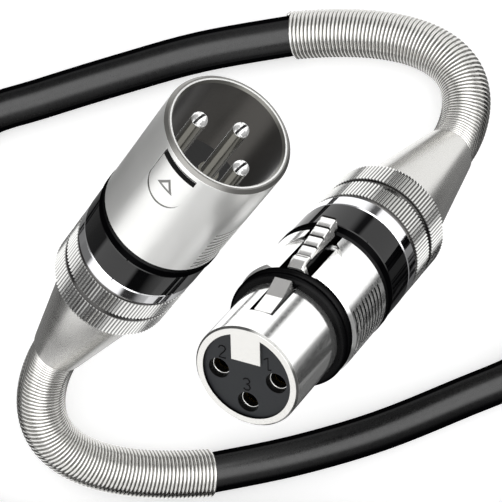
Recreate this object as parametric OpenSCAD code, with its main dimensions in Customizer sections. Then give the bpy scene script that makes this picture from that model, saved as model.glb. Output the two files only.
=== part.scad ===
// Balanced microphone lead: a male and a female three-pole connector, each with a
// knurled union nut, a tapered metal boot and a long steel spring strain relief,
// standing on their bent springs. Axis of each connector points to its mouth.

/* [Male connector] */
// Length of the male barrel, mouth to gasket
male_barrel_len = 22.7; // [22.2:0.1:28]
// Outside diameter of the male barrel
barrel_d = 19; // [18.6:0.1:20]
// Inside diameter of the male mouth
mouth_d = 16.5; // [16.2:0.1:16.8]
// Diameter of the lead-in at the rim of the mouth
mouth_rim_d = 17.1; // [16.9:0.1:17.6]
// Axial length of the lead-in
mouth_lead = 0.5; // [0.3:0.1:1.5]
// Depth of the mouth, rim to insert
mouth_depth = 14.5; // [13:0.5:16]
// Distance of the pin tips behind the rim
pin_setback = 2; // [1.5:0.1:5]
// Diameter of a contact pin
pin_d = 2.4; // [2:0.1:2.6]
// Added diameter of a contact's shank inside the insert
pin_shank_add = 0.8; // [0.6:0.1:1]
// Radius of the circle that the contacts stand on
contact_ring_r = 4.45; // [4.1:0.05:4.6]
// Width of the latch slot and its thumb pad
latch_slot_w = 6.3; // [5:0.1:7]
// Axial height of the latch slot
latch_slot_h = 1.7; // [0.8:0.1:2.2]
// Distance of the latch slot behind the rim
latch_slot_at = 1.3; // [1.2:0.1:3]
// Length of the recessed thumb pad behind the slot
thumb_pad_len = 7.4; // [6.8:0.1:10]
// Depth of the recessed thumb pad
thumb_pad_depth = 0.35; // [0.2:0.05:0.5]
// Length of the engraved triangle in the thumb pad
arrow_len = 2.4; // [1.8:0.1:3]
// Width of the engraved triangle's lines
arrow_line = 0.4; // [0.3:0.05:0.5]
// Depth of the engraved triangle
arrow_depth = 0.15; // [0.1:0.05:0.3]

/* [Female connector] */
// Length of the nose, face to rubber ring
nose_len = 12.4; // [12:0.1:14]
// Diameter of the nose
nose_d = 16; // [15.8:0.1:16.2]
// Wall of the nose
nose_wall = 1.2; // [1:0.1:1.4]
// Width of the double rubber ring
nose_ring_w = 2.8; // [2.4:0.1:3.4]
// Height of the double rubber ring above the nose
nose_ring_rise = 1.3; // [1:0.1:1.5]
// Length of the grip barrel, rubber ring to gasket
grip_len = 10.7; // [10.4:0.1:13]
// Width of the polarising key
key_w = 4.5; // [4:0.1:5]
// Radial depth of the polarising key
key_depth = 4.4; // [3.4:0.1:4.5]
// Length of the polarising key behind the face
key_len = 4.2; // [3:0.1:4.2]
// Diameter of a socket bore
socket_d = 2.5; // [2.2:0.05:2.7]
// Wall of a socket contact
socket_wall = 0.4; // [0.3:0.05:0.45]
// Depth of the socket contacts behind the face
socket_setback = 2.5; // [1.5:0.1:4]

/* [Latch] */
// Width of the latch lever's thumb part
lever_w = 3.8; // [3.4:0.1:5]
// Width of the latch hook and its neck
hook_w = 2.6; // [2.4:0.1:3]
// Height of the hook's catch above the axis
hook_top = 9.3; // [9:0.05:9.4]
// Distance of the hook's tip behind the face
hook_front = 5.3; // [5:0.1:6]
// Reach of the lever's thumb part over the gasket and the band
pad_overhang = 5; // [3:0.1:5.4]
// Number of finger steps on the lever
lever_steps = 4; // [3:1:6]
// Diameter of the latch pivot pin
pivot_d = 1.2; // [1:0.05:1.3]

/* [Rings, nut and boot] */
// Width of the black gasket
gasket_w = 2.1; // [2:0.1:3.4]
// Outside diameter of the gasket
gasket_d = 19.2; // [18.8:0.1:19.4]
// Width of the identification band
band_w = 5.8; // [4:0.1:8]
// Diameter of the identification band
band_d = 18.9; // [18.6:0.1:19.2]
// Width of the bright trim ring
trim_w = 2.8; // [2.5:0.1:5]
// Diameter of the bright trim ring
trim_d = 18.8; // [18.4:0.1:19.2]
// Diameter of the rear spigot that carries the rings and the nut
spigot_d = 16.7; // [16.2:0.1:17]
// Length of the rear spigot behind the trim ring
spigot_rear = 6.2; // [6:0.1:8]
// Diameter over the knurls of the nut
nut_d = 18.8; // [18.4:0.1:19.4]
// Depth of the straight knurl
knurl_depth = 0.26; // [0.15:0.01:0.35]
// Number of knurls round the nut
knurl_count = 108; // [60:1:120]
// Length of the front knurl
knurl_front_w = 4.1; // [3.8:0.1:7]
// Width of the plain groove between the knurls
groove_w = 1.1; // [0.6:0.1:1.6]
// Length of the rear knurl
knurl_rear_w = 4.3; // [3.8:0.1:7]
// Length of the boot's tapered part
boot_taper_len = 22.6; // [18:0.1:26]
// Diameter of the boot where it leaves the nut
boot_d = 15.7; // [15:0.1:15.8]
// Diameter of the boot's small end
boot_end_d = 8.6; // [8.4:0.1:9.4]
// Radial clearance of the running and slip fits
running_fit = 0.05; // [0.03:0.01:0.1]

/* [Grip ribs] */
// Number of grooves in each side grip
grip_count = 10; // [6:1:11]
// Distance between grooves
grip_pitch = 1; // [0.8:0.05:1]
// Width of a groove
grip_groove_w = 0.5; // [0.3:0.05:0.6]
// Depth of a groove
grip_depth = 0.3; // [0.15:0.05:0.4]
// Width of the grip patch across the barrel
grip_w = 7.4; // [5:0.1:9]

/* [Cable and springs] */
// Diameter of the cable
cable_d = 6.6; // [6:0.1:6.7]
// Outside diameter of the spring
spring_d = 7.9; // [7.7:0.1:8.1]
// Diameter of the spring wire
wire_d = 0.6; // [0.5:0.05:0.65]
// Number of curls in each spring
spring_curls = 21; // [15:1:21]
// Diameter of the jacket where the spring grips it
jacket_seat_d = 6; // [5.6:0.1:6]
// Number of turns in each layer of the put-away coil
coil_turns_layer = 2.125; // [1.125:1:3.125]
// Centre to centre distance between the coil's turns
coil_pitch = 7.1; // [7.1:0.1:7.3]
// Radius of the coil's outer turn
coil_r = 40.5; // [40:0.5:42]

/* [Posture] */
// Lift of the male connector above the floor, degrees
male_lift = 51.3; // [45:0.1:56]
// Heading of the male connector, degrees
male_heading = 49; // [44:0.5:54]
// Turn of the male connector about its own axis, degrees
male_roll = 11; // [-20:1:30]
// Lift of the female connector above the floor, degrees
female_lift = 48.8; // [44:0.1:54]
// Heading of the female connector, degrees
female_heading = 225.9; // [221:0.1:231]
// Turn of the female connector about its own axis, degrees
female_roll = -37.5; // [-50:0.5:-20]

/* [Hidden] */
$fn = 64;
eps = 0.01;
far = 60;

// ---- stations behind the mouth, shared by both connectors (z runs to the mouth) ----
fit = running_fit;
flat_gap = 0.05;                                // between faces that turn on each other
female_barrel_len = nose_len + nose_ring_w + grip_len;
gasket_end = gasket_w;
band_end = gasket_end + band_w;
trim_end = band_end + trim_w;
spigot_end = trim_end + spigot_rear;
flange_start = spigot_end + 0.3;
flange_t = 2.4;
flange_end = flange_start + flange_t;
slip_t = 0.3;
slip_start = flange_end + flat_gap;
lip_start = slip_start + slip_t + flat_gap;
nut_start = trim_end + flat_gap;
nut_front_rim = 0.65;
knurl1_end = nut_start + nut_front_rim + knurl_front_w;
knurl2_start = knurl1_end + groove_w;
knurl2_end = knurl2_start + knurl_rear_w;
nut_chamfer = 0.4;
nut_end = max(knurl2_end + nut_chamfer, lip_start + 1.2);
boot_start = nut_end + 0.2;
boot_end = boot_start + boot_taper_len;
boot_seat_len = 7;                              // narrow bore that holds the jacket
male_total = male_barrel_len + boot_end;
female_total = female_barrel_len + boot_end;

spigot_r = spigot_d / 2;
spigot_wall = 0.95;
ring_bore_r = spigot_r + fit;
nut_bore_r = spigot_r + fit;
flange_r = spigot_r - fit;
shank_r = boot_d / 2;
lip_bore_r = shank_r + 0.1;
barrel_r = barrel_d / 2;
mouth_r = mouth_d / 2;
nut_r = nut_d / 2;
boot_end_r = boot_end_d / 2;

insert_to_spigot = 0.8;                         // the male insert stops this far before the spigot
male_insert_r = mouth_r - fit;
nose_bore_r = nose_d / 2 - nose_wall;
female_insert_r = nose_bore_r - fit;
female_insert_end = 22;
face_setback = 0.4;
socket_floor = 5;                               // solid rear of a socket contact
socket_r = socket_d / 2;
contact_r = socket_r + socket_wall;
key_floor = nose_bore_r - key_depth;            // height of the key's inner face
latch_floor = 3.6;                              // height of the floor under the latch
nose_ring_r = nose_d / 2 + nose_ring_rise;

skirt_gap = 0.1;
skirt_r = spigot_r - spigot_wall - skirt_gap;   // boot skirt inside the spigot
skirt_start = trim_end + 0.6;
skirt_wall = 1.6;
chuck_r = skirt_r - skirt_wall - fit;
jacket_seat_r = jacket_seat_d / 2;
chuck_bore_r = jacket_seat_r + fit;
boot_bore_r = jacket_seat_r + 0.45;
chuck_start = skirt_start + 1;
chuck_len = 12;
jacket_start = chuck_start - 3;                 // jacket is stripped in front of this

// contacts of the female: 1 and 2 abreast of the key's axis, 3 opposite the key;
// the male's 1 and 2 change sides, as the two meet face to face
CONTACTS = [[contact_ring_r, 0], [-contact_ring_r, 0], [0, -contact_ring_r]];

// ---- where the two boots end, in the layout of the whole lead ----
layout_shift = [-0.54, 0.45, 0];
male_boot_at = [-30.4, -15.3, 13.5] + layout_shift;
female_boot_at = [31.4, 15.7, 10.2] + layout_shift;
function axis_of(heading, lift) = [cos(lift) * cos(heading), cos(lift) * sin(heading), sin(lift)];
male_axis = axis_of(male_heading, male_lift);
female_axis = axis_of(female_heading, female_lift);
male_mouth_at = male_boot_at + male_total * male_axis;
female_mouth_at = female_boot_at + female_total * female_axis;

// ---- spring centrelines: one cubic from the boot's end down to the floor ----
spring_flat = 0.15;                             // flat worn under the curls
spring_r = spring_d / 2;
curl_r = spring_r - wire_d / 2;
spring_z = spring_r - spring_flat;
spring_lead_in = 10;
spring_lead_out = 35;
male_spring_heading = 4.6;
female_spring_heading = 185.4;
male_spring_at = [-6.4, -36, 0] + layout_shift + [0, 0, spring_z];
female_spring_at = [6.9, 35, 0] + layout_shift + [0, 0, spring_z];
male_curve = cubic(male_boot_at, male_axis, male_spring_at, male_spring_heading);
female_curve = cubic(female_boot_at, female_axis, female_spring_at, female_spring_heading);

function cubic(from, axis, to, heading) = [
  from, from - spring_lead_in * axis,
  to - spring_lead_out * [cos(heading), sin(heading), 0], to];
function bez(c, t) = pow(1 - t, 3) * c[0] + 3 * pow(1 - t, 2) * t * c[1]
  + 3 * (1 - t) * t * t * c[2] + pow(t, 3) * c[3];
function bez_dir(c, t) = unit(pow(1 - t, 2) * (c[1] - c[0]) + 2 * (1 - t) * t * (c[2] - c[1])
  + t * t * (c[3] - c[2]));
function unit(v) = v / norm(v);
function run_sum(v, i = 0, s = 0) = i >= len(v) ? [] : concat([s + v[i]], run_sum(v, i + 1, s + v[i]));

// length along a curve against its parameter
curve_steps = 60;
function lengths(c) = let(l = run_sum([for (i = [0:curve_steps - 1])
  norm(bez(c, (i + 1) / curve_steps) - bez(c, i / curve_steps))]))
  concat([[0, 0]], [for (i = [0:curve_steps - 1]) [l[i], (i + 1) / curve_steps]]);
male_lengths = lengths(male_curve);
female_lengths = lengths(female_curve);
function last(v) = v[len(v) - 1];

function side_of(t) = unit(cross(t, [0, 0, 1]));
function up_of(t) = cross(side_of(t), t);

// ---- tubes: one polyhedron, rings of n points each, ends closed ----
function tube_faces(n, rings) = concat(
  [for (i = [0:rings - 2], j = [0:n - 1], k = [0, 1])
    let(a = i * n + j, b = i * n + (j + 1) % n)
    k == 0 ? [a, b, b + n] : [a, b + n, a + n]],
  [for (j = [1:n - 2]) [0, j + 1, j]],
  [for (j = [1:n - 2]) let(e = (rings - 1) * n) [e, e + j, e + j + 1]]);
module tube(rings) {
  n = len(rings[0]);
  polyhedron([for (r = rings) each r], tube_faces(n, len(rings)), convexity = 10);
}
function flat_on(p) = [p[0], p[1], max(p[2], 0)];
// a ring of n points round p, square to direction t
function ring_at(p, t, r, n) = [for (j = [0:n - 1]) let(a = 360 * (j + 0.5) / n)
  flat_on(p + r * (cos(a) * side_of(t) + sin(a) * up_of(t)))];
function heading_at(p, i) = unit(p[min(i + 1, len(p) - 1)] - p[max(i - 1, 0)]);
// ring directions along a route, with the two end directions given
function sweep(p, r, n, first, final) = [for (i = [0:len(p) - 1])
  ring_at(p[i], i == 0 ? first : i == len(p) - 1 ? final : heading_at(p, i), r, n)];

// ---- springs ----
curl_rings = 8;
wire_sides = 6;
spring_start = wire_d / 2 + 0.1;
function wire_centre(c, table, i) =
  let(total = last(table)[0] - spring_start - wire_d / 2,
      s = spring_start + total * i / (spring_curls * curl_rings), t = lookup(s, table),
      a = 360 * i / curl_rings, d = bez_dir(c, t))
  bez(c, t) + curl_r * (cos(a) * side_of(d) + sin(a) * up_of(d));
function wire_ring(c, table, i) =
  let(total = last(table)[0] - spring_start - wire_d / 2,
      s = spring_start + total * i / (spring_curls * curl_rings), t = lookup(s, table),
      a = 360 * i / curl_rings, d = bez_dir(c, t),
      out = cos(a) * side_of(d) + sin(a) * up_of(d), p = bez(c, t) + curl_r * out)
  [for (j = [0:wire_sides - 1]) let(w = -360 * (j + 0.5) / wire_sides)
    flat_on(p + wire_d / 2 * (cos(w) * out + sin(w) * d))];
module coil_spring(c, table) {
  tube([for (i = [0:spring_curls * curl_rings]) wire_ring(c, table, i)]);
  centres = [for (i = [0:spring_curls * curl_rings]) wire_centre(c, table, i)];
  gaps = [for (i = [0:len(centres) - curl_rings - 2], k = [-1, 0, 1])
    norm(centres[i + curl_rings + k] - centres[i]) - wire_d];
  echo(str("spring: length ", last(table)[0], " mm, least gap between curls ", min(gaps), " mm"));
}
// jacket inside the boot and the spring
module cable_tail(c, table, axis) {
  straight = boot_end - jacket_start;
  steps = 11;
  p = concat([for (i = [0:2]) c[0] + axis * straight * (1 - i / 3)],
    [for (i = [0:steps]) bez(c, lookup(last(table)[0] * i / steps, table))]);
  d = concat([for (i = [0:2]) -axis],
    [for (i = [0:steps]) bez_dir(c, lookup(last(table)[0] * i / steps, table))]);
  tube([for (i = [0:len(p) - 1]) ring_at(p[i], d[i], jacket_seat_r, 8)]);
}

// ---- put-away coil: two layers, in on the floor, out on top ----
cable_r = cable_d / 2;
coil_at = [97, -0.3] + [layout_shift[0], layout_shift[1]];
layer_rise = cable_d + 0.5;
coil_loop_rings = 24;
climb = 0.5;
coil_total = 2 * coil_turns_layer + climb;
coil_inner_r = coil_r - coil_turns_layer * coil_pitch;
function coil_radius(k) = k < coil_turns_layer ? coil_r - coil_pitch * k
  : k < coil_turns_layer + climb ? coil_inner_r
  : coil_inner_r + coil_pitch * (k - coil_turns_layer - climb);
function coil_z(k) = cable_r + layer_rise
  * min(1, max(0, (k - coil_turns_layer) / climb));
function coil_point(k) = [coil_at[0] + coil_radius(k) * cos(360 * k - 90),
  coil_at[1] + coil_radius(k) * sin(360 * k - 90), coil_z(k)];
coil_rings = round(coil_total * coil_loop_rings);
coil_line = [for (i = [0:coil_rings]) coil_point(coil_total * i / coil_rings)];
coil_in_dir = [1, 0, 0];
coil_out_dir = [0, -1, 0];

// ---- free runs: round numbers along the floor ----
route_right = [[7, -33.3, 3.4], [20.8, -29.3, 3.3], [34.5, -23.8, 3.3], [44, -19.6, 4],
  [51, -13.8, 6.2], [55, -6.8, 8.8]];
route_left = [[-8, 32.4, 3.4], [-21, 28.8, 3.3], [-34, 24.8, 3.3], [-43.5, 21.6, 3.3],
  [-50.3, 15.6, 3.3], [-54, 6.8, 3.3], [-55, -3, 3.3], [-55, -14, 3.3], [-54, -24.6, 3.3],
  [-51.6, -34.4, 3.3], [-45.8, -42.6, 3.3], [-36.4, -46.4, 3.3], [-24, -47, 3.3],
  [-10, -46.6, 3.3], [4, -46.6, 3.3], [18, -46.6, 3.3], [32, -46.4, 3.3], [46, -45.4, 3.3],
  [60, -44, 3.3], [74, -42.4, 3.3], [86, -41.3, 3.3]];
function shifted(p) = [for (q = p) [q[0] + layout_shift[0], q[1] + layout_shift[1],
  q[2] - 3.3 + cable_r]];
line_right = concat([male_spring_at], shifted(route_right), [last(coil_line)]);
line_left = concat([female_spring_at], shifted(route_left), [coil_line[0]]);
function line_length(p) = last(run_sum([for (i = [1:len(p) - 1]) norm(p[i] - p[i - 1])]));

// ---- placing ----
module place(at, heading, lift, roll)
  translate(at) rotate([0, 90 - lift, heading]) rotate([0, 0, 90 - roll]) children();
module as_male() place(male_mouth_at, male_heading, male_lift, male_roll) children();
module as_female() place(female_mouth_at, female_heading, female_lift, female_roll) children();
// behind the gasket, both connectors are the same: z 0 at the barrel's end
module male_rear() as_male() translate([0, 0, -male_barrel_len]) children();
module female_rear() as_female() translate([0, 0, -female_barrel_len]) children();

// ---- shared shapes ----
module ring(r_out, r_in, from, to)
  translate([0, 0, -to]) difference() {
    cylinder(r = r_out, h = to - from);
    translate([0, 0, -eps]) cylinder(r = r_in, h = to - from + 2 * eps);
  }
module disc(r, from, to) translate([0, 0, -to]) cylinder(r = r, h = to - from);
// band with its outer edges broken by c
module soft_ring(r_out, r_in, from, to, c)
  rotate_extrude() polygon([[r_in, -from], [r_out - c, -from], [r_out, -from - c],
    [r_out, -to + c], [r_out - c, -to], [r_in, -to]]);
module rod(p, q, r) {
  d = q - p;
  translate(p) rotate([0, acos(d[2] / norm(d)), atan2(d[1], d[0])]) cylinder(r = r, h = norm(d));
}
// count grooves on both sides of the barrel, the patch centred at the station given
module grip_grooves(count, middle)
  for (i = [0:count - 1])
    translate([0, 0, -middle + grip_pitch * (i - (count - 1) / 2) - grip_groove_w / 2])
      linear_extrude(height = grip_groove_w) intersection() {
        difference() {
          circle(r = barrel_r + 1);
          circle(r = barrel_r - grip_depth);
        }
        square([far, grip_w], center = true);
      }
module knurl_band(r, depth, from, to)
  translate([0, 0, -to]) linear_extrude(height = to - from)
    polygon([for (i = [0:2 * knurl_count - 1])
      let(a = 180 * i / knurl_count, q = i % 2 == 0 ? r : r - depth) [q * cos(a), q * sin(a)]]);

// ---- rear pieces, one set per connector ----
module gasket() color([0.05, 0.05, 0.06])
  soft_ring(gasket_d / 2, ring_bore_r, 0, gasket_end, 0.35);
module id_band() color([0.03, 0.03, 0.03])
  soft_ring(band_d / 2, ring_bore_r, gasket_end, band_end, 0.12);
module trim_ring() color([0.92, 0.92, 0.93])
  soft_ring(trim_d / 2, ring_bore_r, band_end, trim_end, 0.3);
module slip_ring() color([0.85, 0.85, 0.8])
  ring(flange_r, lip_bore_r, slip_start, slip_start + slip_t);
module nut() color([0.82, 0.82, 0.84])
  difference() {
    union() {
      rotate_extrude() polygon([[0, -nut_start], [nut_r - knurl_depth - 0.3, -nut_start],
        [nut_r - knurl_depth, -nut_start - 0.3], [nut_r - knurl_depth, -knurl1_end],
        [nut_r - knurl_depth - 0.12, -knurl1_end], [nut_r - knurl_depth - 0.12, -knurl2_start],
        [nut_r - knurl_depth, -knurl2_start], [nut_r - knurl_depth, -knurl2_end],
        [nut_r - knurl_depth - nut_chamfer, -nut_end], [0, -nut_end]]);
      knurl_band(nut_r, knurl_depth + 0.02, nut_start + nut_front_rim, knurl1_end);
      knurl_band(nut_r, knurl_depth + 0.02, knurl2_start, knurl2_end);
    }
    translate([0, 0, -lip_start]) cylinder(r = nut_bore_r, h = far);
    translate([0, 0, -far]) cylinder(r = lip_bore_r, h = far);
  }
module boot() color([0.74, 0.74, 0.76])
  rotate_extrude() polygon([
    [skirt_r - skirt_wall, -skirt_start], [skirt_r, -skirt_start],
    [skirt_r, -flange_start], [flange_r, -flange_start], [flange_r, -flange_end],
    [shank_r, -flange_end], [shank_r, -boot_start],
    [boot_end_r + 0.1, -boot_end + 0.6], [boot_end_r - 0.2, -boot_end],
    [boot_bore_r, -boot_end], [boot_bore_r, -boot_end + boot_seat_len],
    [skirt_r - skirt_wall, -boot_start - 2]]);
module chuck() color([0.9, 0.88, 0.8])
  difference() {
    rotate_extrude() polygon([[chuck_bore_r, -chuck_start], [chuck_r, -chuck_start],
      [chuck_r, -chuck_start - chuck_len + 1], [chuck_r - 0.8, -chuck_start - chuck_len],
      [chuck_bore_r, -chuck_start - chuck_len]]);
    for (a = [0, 90]) rotate([0, 0, a]) translate([0, 0, -chuck_start - chuck_len])
      cube([3 * chuck_r, 0.8, 1.4 * chuck_len], center = true);
  }
// spigot of a shell, open through its middle
module spigot() ring(spigot_r, spigot_r - spigot_wall, 0, spigot_end);
// three insulated conductors from the jacket to the contacts' cups
module cores(barrel, cup_at) color([0.75, 0.2, 0.2])
  for (i = [0:2]) {
    c = [CONTACTS[i][0], CONTACTS[i][1], 0];
    rod(1.4 * unit(c) - [0, 0, barrel + jacket_start - 0.2], c - [0, 0, cup_at + 0.05], 0.65);
  }

// ---- male connector ----
contact_rear = 2.4;
rim_chamfer = 0.5;
arrow_at = latch_slot_at + latch_slot_h + 2;    // station of the triangle's point
arrow_half = 0.62 * arrow_len;
arrow_in_r = arrow_half * arrow_len / (arrow_half + norm([arrow_half, arrow_len]));
arrow_mid = [0, -arrow_at - arrow_len + arrow_in_r];
ARROW = [[0, -arrow_at], [arrow_half, -arrow_at - arrow_len], [-arrow_half, -arrow_at - arrow_len]];
// outline triangle engraved in the thumb pad, pointing to the mouth
module arrow() difference() {
  translate([0, barrel_r, 0]) rotate([90, 0, 0]) linear_extrude(height = barrel_r / 2) difference() {
    polygon(ARROW);
    polygon([for (p = ARROW) arrow_mid + (1 - arrow_line / arrow_in_r) * (p - arrow_mid)]);
  }
  translate([0, 0, -far / 2]) cylinder(r = barrel_r - thumb_pad_depth - arrow_depth, h = far);
}
pin_shank_r = (pin_d + pin_shank_add) / 2;
leaf_w = 2.2;
male_insert_end = male_barrel_len - insert_to_spigot;
module male_shell() color([0.72, 0.72, 0.74]) as_male() {
  difference() {
    union() {
      rotate_extrude() polygon([
        [mouth_rim_d / 2, 0], [barrel_r - rim_chamfer, 0], [barrel_r, -rim_chamfer],
        [barrel_r, -male_barrel_len + 0.3], [barrel_r - 0.3, -male_barrel_len],
        [spigot_r - spigot_wall, -male_barrel_len],
        [spigot_r - spigot_wall, -male_insert_end], [mouth_r, -male_insert_end],
        [mouth_r, -mouth_lead], [mouth_rim_d / 2, 0]]);
      translate([0, 0, -male_barrel_len + eps]) spigot();
    }
    // latch slot through the wall
    translate([-latch_slot_w / 2, mouth_r / 2, -latch_slot_at - latch_slot_h])
      cube([latch_slot_w, barrel_r, latch_slot_h]);
    // recessed thumb pad behind it, round at its rear
    difference() {
      translate([0, barrel_r, 0]) rotate([90, 0, 0]) linear_extrude(height = barrel_r / 2) {
        translate([-latch_slot_w / 2, -latch_slot_at - latch_slot_h - thumb_pad_len + latch_slot_w / 2])
          square([latch_slot_w, thumb_pad_len - latch_slot_w / 2 + eps]);
        translate([0, -latch_slot_at - latch_slot_h - thumb_pad_len + latch_slot_w / 2])
          circle(r = latch_slot_w / 2);
      }
      translate([0, 0, -far / 2]) cylinder(r = barrel_r - thumb_pad_depth, h = far);
    }
    arrow();
    grip_grooves(grip_count, male_barrel_len - 0.6 - grip_count * grip_pitch / 2);
  }
}
module male_insert() color([0.12, 0.12, 0.13]) as_male()
  difference() {
    disc(male_insert_r, mouth_depth, male_insert_end);
    for (c = CONTACTS) translate([c[0], c[1], -far]) cylinder(r = pin_shank_r + fit, h = far);
    // notch that holds the earth leaf
    translate([-leaf_w / 2 - fit, mouth_r - 0.9, -far]) cube([leaf_w + 2 * fit, 3, far]);
  }
module male_contact(c) color([0.9, 0.9, 0.9]) as_male() translate([c[0], c[1], 0]) {
  rear = male_insert_end + contact_rear;
  difference() {
    union() {
      translate([0, 0, -rear]) cylinder(r = pin_shank_r, h = rear - mouth_depth);
      translate([0, 0, -mouth_depth - eps])
        cylinder(r = pin_d / 2, h = mouth_depth + eps - pin_setback - pin_d / 2);
      translate([0, 0, -pin_setback - pin_d / 2]) sphere(r = pin_d / 2);
    }
    translate([0, 0, -rear - eps]) cylinder(r = pin_shank_r - 0.35, h = 1.6);
  }
}
// leaf that earths the other connector's nose, held in the insert's notch
module male_ground_spring() color([0.8, 0.8, 0.82]) as_male()
  translate([-leaf_w / 2, 0, 0]) rotate([90, 0, 90]) linear_extrude(height = leaf_w)
    polygon([[mouth_r - 0.15, -male_insert_end + 0.1], [mouth_r - 0.15, -mouth_depth + 5],
      [mouth_r - 0.4, -mouth_depth + 5], [mouth_r - 0.7, -mouth_depth + 3],
      [mouth_r - 0.45, -mouth_depth], [mouth_r - 0.45, -male_insert_end + 0.1]]);

// ---- female connector ----
grip_front = nose_len + nose_ring_w;
channel_w = lever_w + 1.4;
pivot_at = [7.8, -(female_barrel_len - 1.7)];   // height above the axis, station
ledge_low = 8.35;                               // height of the flat ledges by the lever
ledge_r = 4.7;
strip_low = 6.2;
strip_high = 7.4;
neck_slot_len = 4.4;                            // neck slot in front of the rubber ring
hook_fold = 8.1;                                // height where the catch begins to rise
pad_low = 7.5;
pad_front = grip_front + 0.4;
pad_rear = female_barrel_len + pad_overhang;
pad_over = gasket_d / 2 + 0.25;
module female_shell() color([0.86, 0.86, 0.87]) as_female() {
  difference() {
    union() {
      rotate_extrude() polygon([
        [nose_bore_r, -eps / 2], [nose_d / 2 - 0.3, -eps / 2], [nose_d / 2, -0.3],
        [nose_d / 2, -grip_front], [barrel_r - 0.4, -grip_front], [barrel_r, -grip_front - 0.4],
        [barrel_r, -female_barrel_len + 0.3], [barrel_r - 0.3, -female_barrel_len],
        [spigot_r - spigot_wall, -female_barrel_len],
        [spigot_r - spigot_wall, -female_insert_end], [nose_bore_r, -female_insert_end]]);
      translate([0, 0, -female_barrel_len + eps]) spigot();
      // polarising key, flush with the face
      intersection() {
        translate([-key_w / 2, key_floor, -key_len]) cube([key_w, nose_d / 2, key_len - eps / 2]);
        ring(nose_bore_r + nose_wall / 2, eps, 0, far);
      }
    }
    // window for the hook, neck slot under the rubber ring, channel for the lever
    translate([-hook_w / 2 - 0.5, latch_floor, -nose_len + 0.3])
      cube([hook_w + 1, nose_d, nose_len - hook_front + 0.5 - 0.3]);
    translate([-hook_w / 2 - 0.3, latch_floor, -grip_front - eps])
      cube([hook_w + 0.6, nose_d, nose_ring_w + neck_slot_len]);
    translate([-channel_w / 2, nose_bore_r - 1, -female_barrel_len - eps])
      cube([channel_w, barrel_d, grip_len + 2 * eps]);
    // flat ledges on both sides of the channel, round at their rear
    translate([0, ledge_low + barrel_r, 0]) rotate([90, 0, 0]) linear_extrude(height = barrel_r) {
      translate([0, -female_barrel_len + 1.4 + ledge_r]) circle(r = ledge_r);
      translate([-ledge_r, -female_barrel_len + 1.4 + ledge_r]) square([2 * ledge_r, grip_len]);
    }
    // pivot pin's seat
    translate([0, pivot_at[0], pivot_at[1]]) rotate([0, 90, 0])
      cylinder(r = pivot_d / 2 + 0.02, h = pin_span, center = true);
    grip_grooves(min(grip_count, floor(grip_len / grip_pitch) - 1), grip_front + grip_len / 2 - 0.3);
  }
}
pin_span = channel_w + 2;
module latch_pin() color([0.6, 0.6, 0.62]) as_female()
  translate([0, pivot_at[0], pivot_at[1]]) rotate([0, 90, 0])
    cylinder(r = pivot_d / 2, h = pin_span - 0.04, center = true);
module female_insert() color([0.13, 0.13, 0.14]) as_female()
  difference() {
    disc(female_insert_r, face_setback, female_insert_end);
    // groove for the key, and behind it a shallower one for the latch
    translate([-key_w / 2 - fit, key_floor - fit, -key_len - flat_gap])
      cube([key_w + 2 * fit, barrel_r, far]);
    translate([-key_w / 2 - fit, latch_floor - fit, -far]) cube([key_w + 2 * fit, barrel_r, far]);
    for (c = CONTACTS) translate([c[0], c[1], 0]) {
      translate([0, 0, -socket_setback - eps])
        cylinder(r1 = socket_r + 0.1, r2 = socket_r + 0.35, h = socket_setback - face_setback + 2 * eps);
      translate([0, 0, -far]) cylinder(r = contact_r + fit, h = far - socket_setback);
    }
  }
module female_contact(c) color([0.85, 0.75, 0.45]) as_female() translate([c[0], c[1], 0])
  difference() {
    translate([0, 0, -female_insert_end - contact_rear])
      cylinder(r = contact_r, h = female_insert_end + contact_rear - socket_setback - 0.1);
    translate([0, 0, -female_insert_end + socket_floor]) cylinder(r = socket_r, h = far);
    translate([0, 0, -female_insert_end - contact_rear - eps]) cylinder(r = contact_r - 0.4, h = 1.6);
  }
module nose_ring() color([0.04, 0.04, 0.05]) as_female()
  rotate_extrude() intersection() {
    translate([nose_d / 2 + fit, -far / 2]) square([nose_ring_r, far]);
    union() for (k = [0, 1])
      translate([nose_ring_r - nose_ring_w / 4, -nose_len - nose_ring_w / 4 - k * nose_ring_w / 2]) {
        circle(r = nose_ring_w / 4);
        translate([-nose_ring_w / 2, -nose_ring_w / 4]) square([nose_ring_w / 2, nose_ring_w / 2]);
      }
  }
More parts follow.
